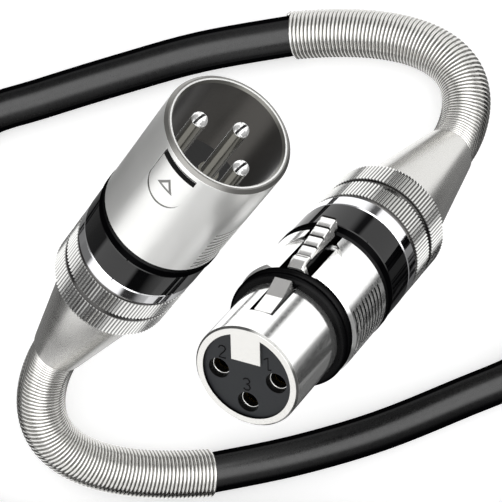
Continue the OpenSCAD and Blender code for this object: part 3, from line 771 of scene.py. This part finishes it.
    def room(self) -> None:
        """Hangs white panels and dark flags round the set for what is glossy, an even room for the rest."""
        world = bpy.data.worlds.new("room")
        bpy.context.scene.world = world
        world.use_nodes = True
        tree = world.node_tree
        tree.nodes.clear()
        place = add(tree, "ShaderNodeTexCoord")
        way = add(tree, "ShaderNodeSeparateXYZ", inputs={0: place.outputs["Generated"]})
        north_way, rise = way.outputs["Y"], way.outputs["Z"]
        round_room = self.turned(tree, way)
        north = self.ring(tree, round_room, self.north_panels)
        south = self.ring(tree, round_room, self.south_panels)
        higher = self.ring(tree, round_room, self.upper_panels)
        flag = self.ring(tree, round_room, self.flag)
        sides = cross_over(tree, north_way, self.north_span, south, north)
        top = cross_over(tree, rise, self.crown_span, higher, grey(self.crown_level))
        shaded = {"data_type": "RGBA", "blend_type": "MULTIPLY"}
        upper = add(tree, "ShaderNodeMix", shaded, {0: 1.0, 6: top, 7: flag}).outputs[2]
        panels = cross_over(tree, rise, self.upper_span, sides, upper)
        rays = add(tree, "ShaderNodeLightPath").outputs
        seen: Any = grey(self.room_level)
        for ray, light in (("Is Glossy Ray", panels), ("Is Camera Ray", grey(1.0))):
            blend = {0: rays[ray], 6: seen, 7: light}
            seen = add(tree, "ShaderNodeMix", {"data_type": "RGBA"}, blend).outputs[2]
        wall = add(tree, "ShaderNodeBackground", inputs={"Color": seen, "Strength": 1.0})
        add(tree, "ShaderNodeOutputWorld", inputs={"Surface": wall.outputs[0]})

    def build(self) -> None:
        """Sets the whole studio but for the camera."""
        self.floor()
        self.room()
        for box in self.boxes:
            box.build()
        bpy.context.scene.view_settings.view_transform = "Standard"


# ---------------------------------------------------------------- cable


@dataclass(frozen=True)
class FreeCable:
    """The lead's cable: out of one spring, through the put-away coil, back into the other."""

    diameter: float = 6.6
    coil_at: Pair = (97.0, -0.3)  # middle of the coil
    coil_r: float = 40.5  # radius of a layer's outermost turn
    pitch: float = 7.1  # from one turn to the next
    turns: float = 2.125  # in each layer
    climb: float = 0.5  # turns on which the cable climbs to the upper layer
    layer_rise: float = 7.1
    turn_points: int = 24  # of the coil, along each turn
    longest_step: float = 3.0  # from one point of the centreline to the next
    # ends of the two springs, and what the cable's runs between them and the coil pass
    male_end: Point = (-6.4, -36.0, 3.8)
    female_end: Point = (6.9, 35.0, 3.8)
    right: tuple[Point, ...] = (
        (7, -33.3, 3.4), (20.8, -29.3, 3.3), (34.5, -23.8, 3.3),
        (44, -19.6, 4), (51, -13.8, 6.2), (55, -6.8, 8.8),
    )  # fmt: skip
    left: tuple[Point, ...] = (
        (-8, 32.4, 3.4), (-21, 28.8, 3.3), (-34, 24.8, 3.3), (-43.5, 21.6, 3.3), (-50.3, 15.6, 3.3),
        (-54, 6.8, 3.3), (-55, -3, 3.3), (-55, -14, 3.3), (-54, -24.6, 3.3), (-51.6, -34.4, 3.3),
        (-45.8, -42.6, 3.3), (-36.4, -46.4, 3.3), (-24, -47, 3.3), (-10, -46.6, 3.3), (4, -46.6, 3.3),
        (18, -46.6, 3.3), (32, -46.4, 3.3), (46, -45.4, 3.3), (60, -44, 3.3), (74, -42.4, 3.3),
        (86, -41.3, 3.3),
    )  # fmt: skip

    def coil_point(self, k: float) -> Vector:
        """Follows the coil inwards along the floor, up, and outwards on the upper layer.

        Args:
            k: how many turns along.

        Returns:
            The centreline's point, in millimetres.
        """
        inner = self.coil_r - self.turns * self.pitch
        if k < self.turns:
            radius = self.coil_r - self.pitch * k
        elif k < self.turns + self.climb:
            radius = inner
        else:
            radius = inner + self.pitch * (k - self.turns - self.climb)
        raised = min(1.0, max(0.0, (k - self.turns) / self.climb))
        angle = math.radians(360 * k - 90)
        x = self.coil_at[0] + radius * math.cos(angle)
        y = self.coil_at[1] + radius * math.sin(angle)
        return Vector((x, y, self.diameter / 2 + self.layer_rise * raised))

    def line(self) -> list[Vector]:
        """Lays out the whole centreline.

        Returns:
            Points in metres, a few millimetres apart.
        """
        total = 2 * self.turns + self.climb
        count = round(total * self.turn_points)
        coil = [self.coil_point(total * i / count) for i in range(count + 1)]
        right = [Vector(p) for p in (self.male_end, *self.right)]
        left = [Vector(p) for p in (self.female_end, *self.left)]
        guide = right + coil[::-1] + left[::-1]
        smooth: list[Vector] = []
        for i in range(len(guide) - 1):
            before, here = guide[max(i - 1, 0)], guide[i]
            there, after = guide[i + 1], guide[min(i + 2, len(guide) - 1)]
            steps = max(1, math.ceil((there - here).length / self.longest_step))
            for s in range(steps):
                smooth.append(self.between(before, here, there, after, s / steps))
        smooth.append(guide[-1])
        return [(p + LAYOUT_SHIFT) * MM for p in smooth]

    @staticmethod
    def between(a: Vector, b: Vector, c: Vector, d: Vector, t: float) -> Vector:
        """Returns the point at t on the smooth curve from b to c, with a and d beyond them."""
        return 0.5 * (
            2 * b + (c - a) * t + (2 * a - 5 * b + 4 * c - d) * t * t + (3 * b - a - 3 * c + d) * t**3
        )

    def build(self, jacket: Material) -> Object:
        """Args:
            jacket: the cable's finish.

        Returns:
            The curve object.
        """
        line = self.line()
        cable = round_line("cable", line, self.diameter / 2, jacket, fineness=8)
        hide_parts("cable_run_right", "cable_coil", "cable_run_left")
        return cable


# ---------------------------------------------------------------- springs


@dataclass(frozen=True)
class SpringRelief:
    """A long close-wound spring that bends with the cable and grips its jacket."""

    name: str
    posture: Posture
    end: Point
    heading: float  # compass angle of its end
    outside: float = 7.9
    wire: float = 0.6
    pitch: float = 1.03  # curl spacing, in wires
    fill: float = 0.93  # how much of each curl's spacing the flattened wire covers
    lean: float = 18.0  # how far the curls lean where the spring lies flat
    lean_from: float = 0.1  # where along the spring, 0 to 1, they start to lean
    lean_over: float = 0.4  # and in how much of its length they reach the full lean
    lead_in: float = 10.0
    lead_out: float = 35.0
    samples: int = 1200  # of the centreline
    around: int = 30  # rings to a curl
    sides: int = 10

    def guide(self) -> tuple[Vector, Vector, Vector, Vector]:
        """Sets the points that shape the bend.

        Returns:
            The boot's end, the two points that draw the curve, and the spring's end.
        """
        start = self.posture.boot_end()
        finish = Vector(self.end) + LAYOUT_SHIFT
        way = math.radians(self.heading)
        return (
            start,
            start - self.lead_in * self.posture.axis(),
            finish - self.lead_out * Vector((math.cos(way), math.sin(way), 0)),
            finish,
        )

    def centre(self) -> list[Vector]:
        """Draws the spring's centreline.

        Returns:
            Its points from the boot to its end, in millimetres.
        """
        a, b, c, d = self.guide()
        line = []
        for i in range(self.samples + 1):
            t = i / self.samples
            u = 1 - t
            line.append(a * u**3 + b * (3 * u * u * t) + c * (3 * u * t * t) + d * t**3)
        return line

    def wind(self) -> list[list[Vector]]:
        """Winds the wire: curls touch all round, wider where the bend opens them.

        Returns:
            Rings round the wire, in metres.
        """
        line = self.centre()
        curl_r = (self.outside - self.wire) / 2
        turned, table = 0.0, [0.0]
        for here, there in zip(line, line[1:]):
            turned += (there - here).length / (self.wire * self.pitch)
            table.append(turned)

        def curl(want: float) -> tuple[Vector, Vector]:
            """Follows the curls.

            Args:
                want: how many curls along.

            Returns:
                The wire's middle there, and its outward direction.
            """
            low = min(bisect.bisect_right(table, want) - 1, self.samples - 1)
            share = (want - table[low]) / (table[low + 1] - table[low])
            centre = line[low].lerp(line[low + 1], share)
            way = (line[low + 1] - line[low]).normalized()
            side = way.cross(Vector((0, 0, 1))).normalized()
            leant = min(1.0, max(0.0, (want / turned - self.lean_from) / self.lean_over))
            tilt = math.radians(self.lean) * leant
            up = side.cross(way) * math.cos(tilt) + way * math.sin(tilt)
            angle = 2 * math.pi * want
            out = math.cos(angle) * side + math.sin(angle) * up
            return centre + curl_r * out, out

        rings: list[list[Vector]] = []
        count = round(turned * self.around)
        for i in range(count + 1):
            want = turned * i / count
            middle, out = curl(want)
            ahead = curl(want + 1)[0] if want + 1 < turned else middle * 2 - curl(want - 1)[0]
            step = ahead - middle
            half = self.fill * step.length / 2
            way = step.normalized()
            ring = []
            for j in range(self.sides):
                w = 2 * math.pi * j / self.sides
                p = middle + self.wire / 2 * math.cos(w) * out + half * math.sin(w) * way
                ring.append(Vector((p.x, p.y, max(p.z, 0.0))) * MM)
            rings.append(ring)
        LOG.info("%s: %.1f curls", self.name, turned)
        return rings

    def build(self, wire: Material) -> Object:
        """Makes the spring in place of the coarse one.

        Args:
            wire: the wire's finish.

        Returns:
            The spring's object.
        """
        points, faces = tube_mesh(self.wind())
        piece = mesh_object(f"{self.name}_close_wound", points, faces, wire, Body.LEAD)
        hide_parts(self.name)
        return piece


# ---------------------------------------------------------------- latch lever and face


@dataclass(frozen=True)
class LatchLever:
    """Pressed lever: a catch in the nose's window, its neck, and a ridged thumb part over the band.

    Stations count from the face backwards, heights from the connector's axis.
    """

    posture: Posture
    neck_half: float = 1.3
    top_half: float = 1.15
    foot_half: float = 1.75
    foot: float = 7.5  # height of the thumb part's underside
    over_gasket: float = 9.85  # the same, behind the barrel
    barrel: float = 25.5  # station from which the underside clears the gasket
    gasket_out: float = 0.15  # how far the foot stands out there
    front: float = 15.6  # station of the thumb part's front
    rear: float = 26.6
    section_step: float = 0.09  # from one cross-section to the next
    # the swelling ahead of the ridges: its length, its foot and its height, and the arc it follows
    bump: float = 2.7
    bump_foot: float = 8.6
    bump_height: float = 1.2
    arc_start: float = 0.04
    arc_share: float = 0.72
    arc_power: float = 0.6
    # the ridges: each stands higher than the one before, with a groove between
    ridges: int = 4
    rise: float = 0.46
    ridge_foot: float = 9.45
    ridge_crown: float = 0.2
    groove: float = 0.2
    groove_foot: float = 9.22
    groove_lip: float = 0.02  # what the groove takes of the next ridge
    # the flanks: the edge where they are widest, and the shoulder above it
    edge_foot: float = 9.0
    edge_drop: float = 0.16
    edge_out: float = 0.08
    shoulder_drop: float = 0.14
    shoulder_in: float = 0.2
    least: float = 0.02  # what keeps the flank's corners apart where it is low
    # side view of the catch and the neck: station and height
    catch: tuple[Pair, ...] = (
        (5.3, 6.7), (5.3, 7.7), (8.9, 8.1), (11.8, 9.3), (12.0, 9.1), (12.0, 7.4),
        (16.6, 7.4), (24.0, 8.4), (26.0, 8.4), (26.0, 6.7), (6.3, 6.2),
    )  # fmt: skip

    def top(self, station: float) -> tuple[float, bool]:
        """Works out how high the thumb part is.

        Args:
            station: where along it.

        Returns:
            The height, and whether that is in a groove.
        """
        if station < self.front + self.bump - self.groove:
            along = (station - self.front) / self.bump
            arc = math.pi * min(1.0, self.arc_start + self.arc_share * along)
            return self.bump_foot + self.bump_height * math.sin(arc) ** self.arc_power, False
        length = (self.rear - self.front - self.bump) / self.ridges
        run = (station - self.front - self.bump) / length
        ridge = max(0, math.floor(run))
        share = run - ridge
        if share * length < self.groove_lip or (1 - share) * length < self.groove:
            return self.groove_foot + self.rise * (ridge + 1), True
        crown = self.ridge_crown * math.sqrt(math.sin(math.pi * share))
        return self.ridge_foot + self.rise * (ridge + share) + crown, False

    def section(self, station: float, high: float) -> tuple[Pair, ...]:
        """Draws the thumb part's cross-section.

        Args:
            station: where along it.
            high: how high it is there.

        Returns:
            Points sideways and above the axis, from one foot over the top to the other.
        """
        climb = (station - self.front - self.bump) / (self.rear - self.front - self.bump)
        edge = min(high - self.edge_drop, self.edge_foot + self.rise * self.ridges * max(0.0, climb))
        behind = station > self.barrel
        low = self.over_gasket if behind else self.foot
        flank = (
            (self.top_half + self.gasket_out if behind else self.foot_half, low),
            (self.top_half + self.edge_out, max(low + self.least, edge)),
            (self.top_half, max(low + 2 * self.least, high - self.shoulder_drop)),
            (self.top_half - self.shoulder_in, high),
        )
        return tuple((-x, y) for x, y in flank) + flank[::-1]

    def thumb(self) -> tuple[list[Vector], list[list[int]], list[int]]:
        """Lofts the thumb part from cross-sections.

        Returns:
            Points, faces, and each face's material number.
        """
        count = round((self.rear - self.front) / self.section_step)
        rings, grooved = [], []
        for i in range(count + 1):
            station = self.front + (self.rear - self.front) * i / count
            high, in_groove = self.top(station)
            outline = self.section(station, high)
            rings.append([self.posture.to_frame(Vector((x, y, -station))) for x, y in outline])
            grooved.append(in_groove)
        points, faces = tube_mesh(rings)
        top_faces = (2, 3, 4)  # of the eight round a section, those between the edges
        shades = [int(grooved[i] and j in top_faces) for i in range(count) for j in range(len(rings[0]))]
        return points, faces, shades + [0, 0]

    def build(self, metal: Material, shade: Material) -> Object:
        """Makes the lever in place of the plain one.

        Args:
            metal: its plate.
            shade: the painted shade in its grooves.

        Returns:
            The lever's object.
        """
        points, faces, shades = self.thumb()
        base = len(points)
        for x in (-self.neck_half, self.neck_half):
            points += [self.posture.to_frame(Vector((x, y, -s))) for s, y in self.catch]
        n = len(self.catch)
        faces.append([base + i for i in range(n)])
        faces.append([base + n + i for i in reversed(range(n))])
        for i in range(n):
            j = (i + 1) % n
            faces.append([base + i, base + n + i, base + n + j, base + j])
        piece = mesh_object("pressed_latch_lever", points, faces, metal, Body.LATCH, False)
        piece.data.materials.append(shade)
        for face, number in zip(piece.data.polygons, shades):
            face.material_index = number
        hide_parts("latch_lever")
        return piece


@dataclass(frozen=True)
class Numeral:
    """One moulded pole number."""

    figure: str
    at: Pair  # its middle on the face
    pen: tuple[Pair, ...]  # its pen line, in a box from -1 to 1


@dataclass(frozen=True)
class FaceDetail:
    """What the female face shows: moulded pole numbers and the lips of the socket contacts."""

    posture: Posture
    face: float = 0.4  # depth of the insert's face behind the mouth
    half_size: Pair = (0.52, 1.0)  # of a number
    pen_r: float = 0.1
    ring_r: float = 4.45  # of the circle that the contacts stand on
    lip_depth: float = 1.4
    lip_r: float = 1.38
    lip_wire_r: float = 0.085
    lip_points: int = 40
    numerals: tuple[Numeral, ...] = (
        Numeral("1", (3.2, 2.85), ((-1.0, 0.6), (0.1, 1.0), (0.1, -1.0), (1.0, -0.9))),
        Numeral(
            "2",
            (-3.86, 2.9),
            (
                (-1.0, 0.55), (-0.6, 0.9), (0.1, 1.0), (0.8, 0.85), (1.0, 0.5),
                (0.6, 0.1), (-0.4, -0.5), (-1.0, -1.0), (1.0, -1.0),
            ),
        ),
        Numeral(
            "3",
            (-0.12, -1.5),
            (
                (-1.0, 0.7), (-0.4, 0.97), (0.4, 0.95), (0.9, 0.6), (0.6, 0.2), (-0.1, 0.05),
                (0.7, -0.1), (1.0, -0.5), (0.6, -0.9), (-0.2, -1.0), (-1.0, -0.75),
            ),
        ),
    )  # fmt: skip

    def number(self, numeral: Numeral, ink: Material) -> None:
        """Draws one pole number.

        Args:
            numeral: which one.
            ink: its finish.
        """
        wide, tall = self.half_size
        (x, y), face = numeral.at, -self.face
        line = [self.posture.to_frame(Vector((x + u * wide, y + v * tall, face))) for u, v in numeral.pen]
        round_line(f"pole_number_{numeral.figure}", line, self.pen_r, ink)

    def lip(self, number: int, x: float, y: float, plate: Material) -> None:
        """Draws the bright lip of one socket contact.

        Args:
            number: which contact.
            x: its place sideways.
            y: its place towards the key.
            plate: its finish.
        """
        turns = [math.tau * k / self.lip_points for k in range(self.lip_points)]
        spots = [(x + self.lip_r * math.cos(a), y + self.lip_r * math.sin(a)) for a in turns]
        line = [self.posture.to_frame(Vector((u, v, -self.lip_depth))) for u, v in spots]
        ring = round_line(f"socket_lip_{number}", line, self.lip_wire_r, plate, closed=True)

    def build(self, ink: Material, plate: Material) -> None:
        """Draws the numbers and the lips.

        Args:
            ink: the numbers' finish.
            plate: the contacts' plate.
        """
        for numeral in self.numerals:
            self.number(numeral, ink)
        places = ((self.ring_r, 0.0), (-self.ring_r, 0.0), (0.0, -self.ring_r))
        for number, (x, y) in enumerate(places, 1):
            self.lip(number, x, y, plate)


# ---------------------------------------------------------------- connectors


def black_jacket() -> Material:
    """Makes the cable's jacket: half-gloss black, with one soft line of light along it."""
    return CableJacket("extruded_black_jacket", "050506", 0.26, dull_rim=True).build()


def spring_steel() -> Material:
    """Makes bright spring steel: small hard glints on the leaf, the pin and the latch's spring."""
    return BrightNickel("bright_spring_steel", "C8C8C8", 0.2, metallic=1.0, edge=0.03).build()


@dataclass(frozen=True)
class Connector:
    """What both connectors share: the pieces behind the barrel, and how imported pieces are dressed."""

    prefix: str
    posture: Posture

    def rear_finishes(self) -> dict[str, Material]:
        """Makes the finishes of the insert and of what stands behind the barrel.

        Returns:
            Material by the piece's name without its prefix.
        """
        # mirror-bright on the crests of the knurl, with painted shade in its valleys
        turned = TurnedMetal(
            "nickel_plated_turned_brass",
            "DEDEDC",
            0.15,
            metallic=1.0,
            site=self.posture.site(),
            axis=tuple(self.posture.axis()),
            shade_radii=(9.14, 9.3),
        )
        # the cleanest mirror on the object, a thin ring of black and white
        chrome = BrightNickel("polished_chrome_plate", "DCDCDE", 0.05, metallic=1.0, edge=0.08)
        # near black, with a faint sheen on its crown only
        rubber = Moulded(
            "moulded_black_rubber",
            "050506",
            0.28,
            edge=0.1,
            specular=0.1,
            dull_rim=True,
            step=0.2,
            height=0.004,
        )
        # all its light comes from the coat
        lacquer = GlossBand("black_gloss_lacquer", "040405", 0.1, edge=0.05, specular=0.0)
        # smoother and greyer than the barrel, so that one long highlight runs down the taper
        casting = TumbledNickel(
            "tumbled_nickel_plated_zinc", "C6C5C2", 0.24, metallic=0.92, edge=0.1, step=0.3, height=0.005
        )
        # matt near-black, darker in the holes, whose walls are in shade
        holes = self.posture.site(Zone((0.46, 40.0), (0.0, 9.0), "030303"))
        insert = Moulded("black_moulded_nylon", "1A1C1F", 0.46, specular=0.3, site=holes)
        # what follows hardly shows: waxy off-white plastics and coloured wire
        nylon = Moulded("natural_moulded_nylon", "D8D4C6", 0.4)
        acetal = Moulded("white_moulded_acetal", "DDD9CC", 0.4)
        insulation = Moulded("red_extruded_insulation", "8E1E1A", 0.35)
        return {
            "gasket": rubber.build(),
            "id_band": lacquer.build(),
            "trim_ring": chrome.build(),
            "nut": turned.build(),
            "slip_ring": nylon.build(),
            "boot": casting.build(),
            "chuck": acetal.build(),
            "insert": insert.build(),
            "cable_tail": black_jacket(),
            "cores": insulation.build(),
        }

    def dress(self, nodes: dict[str, Object], finishes: dict[str, Material]) -> None:
        """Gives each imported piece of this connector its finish.

        Args:
            nodes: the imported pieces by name.
            finishes: material by the piece's name, without the prefix where the piece has one.
        """
        for part, material in finishes.items():
            node = nodes[part if part in nodes else self.prefix + part]
            node.data.materials.clear()
            node.data.materials.append(material)
            LOG.info("%s: %s", node.name, material.name)


@dataclass(frozen=True)
class MaleConnector(Connector):
    """The connector with the pins, in a tumbled barrel."""

    prefix: str = "male_"
    posture: Posture = Posture((-30.4, -15.3, 13.5), heading=49.0, lift=51.3, roll=11.0, total=66.8)

    def barrel(self) -> Material:
        """Makes the barrel's finish: its rims darker, with painted shade inside the mouth, in the latch
        slot, round the thumb pad, in the engraved triangle and in the grip grooves.

        Returns:
            A satin white metal with a fine grain.
        """
        zones = (
            Zone((-0.1, 0.52), (8.78, 9.47), "7E7D7A"),  # turned rim and its chamfer
            Zone((0.02, 0.52), (8.25, 8.55), "75746F"),  # lead-in inside the rim
            Zone((0.45, 14.7), (0.0, 8.262), "42403D"),  # painted shade inside the mouth
            Zone((1.27, 3.03), (8.3, 9.42), "060606", (0.0, 3.2)),  # painted shade: the latch slot's walls near black
            Zone((3.04, 10.6), (9.16, 9.45), "6A6A68", (0.0, 3.2)),  # painted shade along the step round the thumb pad
            Zone((3.04, 10.6), (8.9, 9.14), "7A7A78", (0.0, 3.0)),  # painted shade in the engraved triangle
            Zone((10.7, 22.4), (9.15, 9.45), "5A5958"),  # painted shade in the grip grooves
        )
        satin = TumbledNickel(
            "tumbled_nickel_plated_zinc",
            "E8E8E6",
            0.3,
            metallic=0.8,
            edge=0.06,
            site=self.posture.site(*zones),
            step=0.11,
        )
        return satin.build()

    def pins(self) -> Material:
        """Makes the pins' plate, with a painted highlight on the tips and painted dark lines across them
        where slits would be.

        Returns:
            A warm grey plate with soft reflections.
        """
        zones = (
            Zone((1.9, 3.15), (0.0, 8.0), "FAFAF9"),  # painted highlight on the tips
            Zone((1.9, 3.1), (4.0, 8.0), "0C0C0C", (4.26, 4.64)),  # painted reflection: a dark line across the tips abreast, where no slit is modelled
            Zone((1.9, 3.1), (0.0, 8.0), "0C0C0C", (0.0, 0.19)),  # the same painted dark line across the third tip
        )
        site = self.posture.site(*zones)
        return SmoothPlate("silver_plated_brass", "74726A", 0.14, metallic=0.55, site=site).build()

    def build(self, nodes: dict[str, Object]) -> None:
        """Dresses the connector.

        Args:
            nodes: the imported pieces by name.
        """
        pins = self.pins()
        front = {"shell": self.barrel(), "ground_spring": spring_steel()}
        contacts = {f"contact_{i}": pins for i in (1, 2, 3)}
        self.dress(nodes, {**self.rear_finishes(), **front, **contacts})


@dataclass(frozen=True)
class FemaleConnector(Connector):
    """The connector with the sockets, in a bright shell with a latch."""

    prefix: str = "female_"
    posture: Posture = Posture((31.4, 15.7, 10.2), heading=225.9, lift=48.8, roll=-37.5, total=70.0)

    def shell(self) -> Material:
        """Makes the shell's finish, with its edges darker, and painted shade in the catch's window, the
        grip grooves and the lever's channel.

        Returns:
            A near mirror that shows the room in stripes.
        """
        zones = (
            Zone((-0.02, 0.02), (2.0, 7.72), "CFCECB"),  # lapped face and key
            Zone((-0.02, 0.31), (7.72, 7.985), "8A8A88"),  # chamfer round the face
            Zone((0.02, 0.45), (6.7, 6.83), "2A2A2A"),  # edge of the bore behind the face
            Zone((5.0, 12.3), (6.6, 7.93), "1E1E1E", (0.0, 2.0)),  # painted shade on the walls of the catch's window
            Zone((15.7, 25.6), (9.15, 9.42), "777775", (5.6, 9.6)),  # painted shade in the grip grooves
            Zone((15.3, 25.95), (5.0, 9.6), "080808", (0.0, 2.61)),  # painted shadow on the walls of the lever's channel
        )
        bright = BrightNickel(
            "bright_nickel_plate", "ECECEB", 0.13, metallic=0.92, edge=0.06, site=self.posture.site(*zones)
        )
        return bright.build()

    def sockets(self) -> Material:
        """Makes the sockets' gold flash: yellow outside, in shade inside.

        Returns:
            The material.
        """
        inside = self.posture.site(Zone((2.9, 16.0), (0.0, 9.0), "080706"))
        return BrightNickel("gold_flashed_brass", "C9A85A", 0.2, metallic=1.0, site=inside).build()

    def latch(self) -> None:
        """Makes the lever, its upper face bright, with a painted shadow on the foot of its flanks and
        painted shade in its grooves.
        """
        # painted shadow: the foot of the flanks near black, where the channel shades it
        foot = self.posture.site(Zone((16.5, 25.9), (4.0, 9.3), "121212", (1.2, 3.0)))
        plate = SmoothPlate("bright_pressed_nickel", "EDECEA", 0.16, metallic=0.8, site=foot)
        # painted shade: a dark nickel on the tops of the grooves between the ridges
        groove_shade = BrightNickel("tarnished_nickel", "2E2D2C", 0.3, metallic=1.0)
        LatchLever(self.posture).build(plate.build(), groove_shade.build())

    def face(self) -> None:
        """Makes the numbers, a matt black that drinks light, and the bright lips of the sockets."""
        ink = Moulded("black_moulded_numbers", "020202", 0.6, specular=0.1, step=0.3)
        lips = SmoothPlate("bright_contact_plate", "F2F2F0", 0.15, metallic=0.6)
        FaceDetail(self.posture).build(ink.build(), lips.build())

    def build(self, nodes: dict[str, Object]) -> None:
        """Dresses the connector, and makes its lever and what its face shows.

        Args:
            nodes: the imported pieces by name.
        """
        rear, steel, sockets = self.rear_finishes(), spring_steel(), self.sockets()
        front = {"shell": self.shell(), "nose_ring": rear["gasket"]}
        latch = {"latch_pin": steel, "latch_spring": steel}
        contacts = {f"contact_{i}": sockets for i in (1, 2, 3)}
        self.dress(nodes, {**rear, **front, **latch, **contacts})
        self.latch()
        self.face()


def main() -> None:
    """Loads the frame, dresses it and adds the pieces that the looks need."""
    logging.basicConfig(level=logging.INFO, format="%(name)s %(message)s")
    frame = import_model()
    nodes = frame["nodes"]

    studio = Studio()
    studio.camera()
    cable = FreeCable()
    cable.build(black_jacket())
    studio.build()

    male, female = MaleConnector(), FemaleConnector()
    # hard-drawn wire: each curl is a bright line with a grey gap beside it
    wire = TurnedMetal("polished_spring_wire", "CBCAC7", 0.2, metallic=1.0).build()
    SpringRelief("male_spring", male.posture, cable.male_end, heading=4.6).build(wire)
    SpringRelief("female_spring", female.posture, cable.female_end, heading=185.4).build(wire)
    male.build(nodes)
    female.build(nodes)

    # each connector is lit as if it stood alone: the male one isn't mirrored in the female one
    for node in nodes.values():
        if node.name.startswith(male.prefix):
            node.visible_glossy = False


if __name__ == "__main__":
    main()
